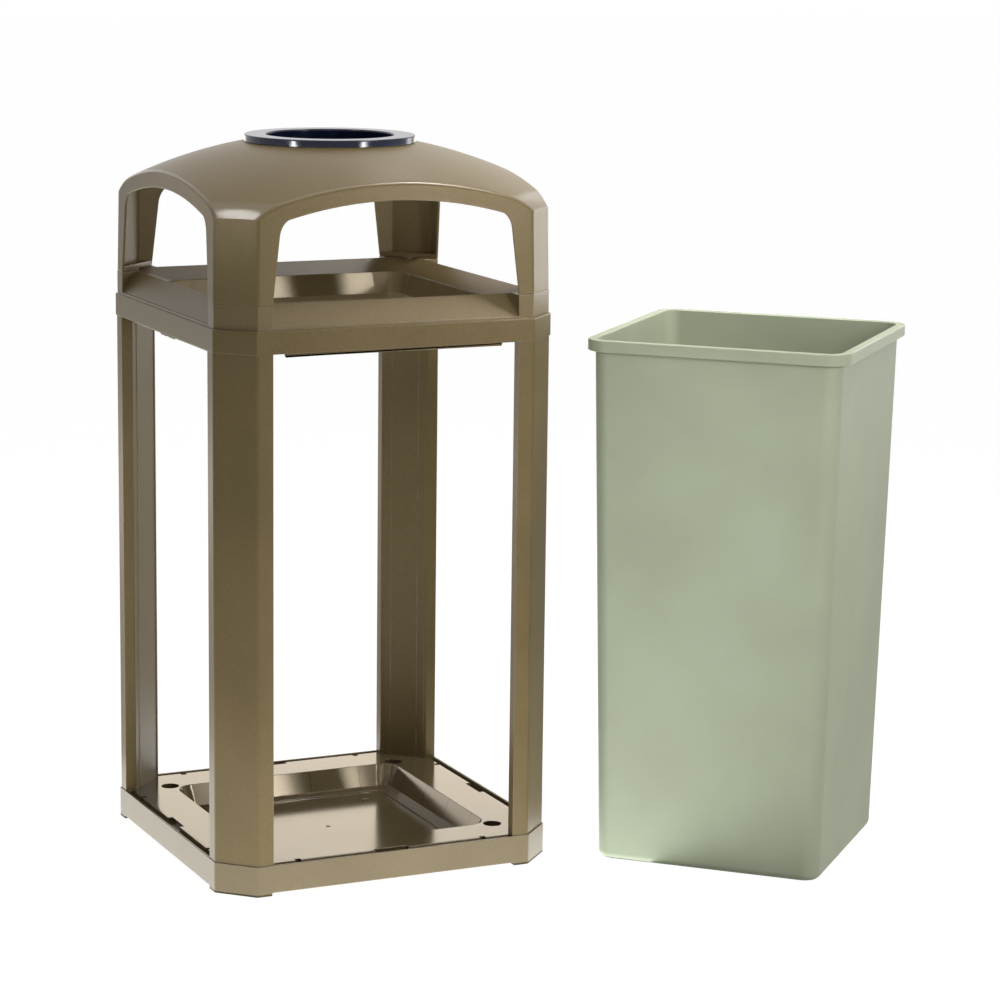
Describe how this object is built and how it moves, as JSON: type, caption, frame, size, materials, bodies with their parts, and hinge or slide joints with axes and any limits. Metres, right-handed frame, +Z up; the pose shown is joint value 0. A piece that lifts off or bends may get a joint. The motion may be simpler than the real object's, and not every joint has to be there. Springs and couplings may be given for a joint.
{
  "type": "outdoor litter container",
  "caption": "Square outdoor litter container: open moulded frame with corner posts, domed hood open on each side, ash bowl in its top, and a separate tapered liner standing beside it.",
  "frame": {"origin": "centre of the container's base on the ground, which is also the centre of the anchor holes", "axes": "+Z up; -Y out of the side that faces the viewer on the right in the picture, -X out of the side on the left; the liner stands towards +X and -Y"},
  "size_m": [1.2024, 0.8834, 1.181],
  "materials": {
    "frame_plastic": "fine moulded grain, warm taupe",
    "liner_plastic": "fine moulded grain, pale sage",
    "ash_metal": "glossy blue-black enamel",
    "steel": "zinc plated"
  },
  "bodies": {
    "frame_body": {"base": "frame_plastic", "post_front_left": "frame_plastic", "post_front_right": "frame_plastic", "post_back_left": "frame_plastic", "post_back_right": "frame_plastic", "top_rail": "frame_plastic", "post_foot_screws": "steel", "post_foot_washers": "steel", "rail_screws": "steel"},
    "hood_body": {"hood_deck": "frame_plastic", "hood_dome": "frame_plastic", "hood_screws": "steel"},
    "ash_bowl_body": {"ash_bowl": "ash_metal"},
    "liner_body": {"liner": "liner_plastic"}
  },
  "joints": [
    {"name": "hood_lift", "type": "slide", "parent": "frame_body", "child": "hood_body", "axis": [0, 0, 1], "range_m": [0, 0.3]},
    {"name": "ash_bowl_lift", "type": "slide", "parent": "hood_body", "child": "ash_bowl_body", "axis": [0, 0, 1], "range_m": [0, 0.15]},
    {"name": "liner_lift", "type": "slide", "parent": "frame_body", "child": "liner_body", "axis": [0, 0, 1], "range_m": [0, 0.5]}
  ]
}
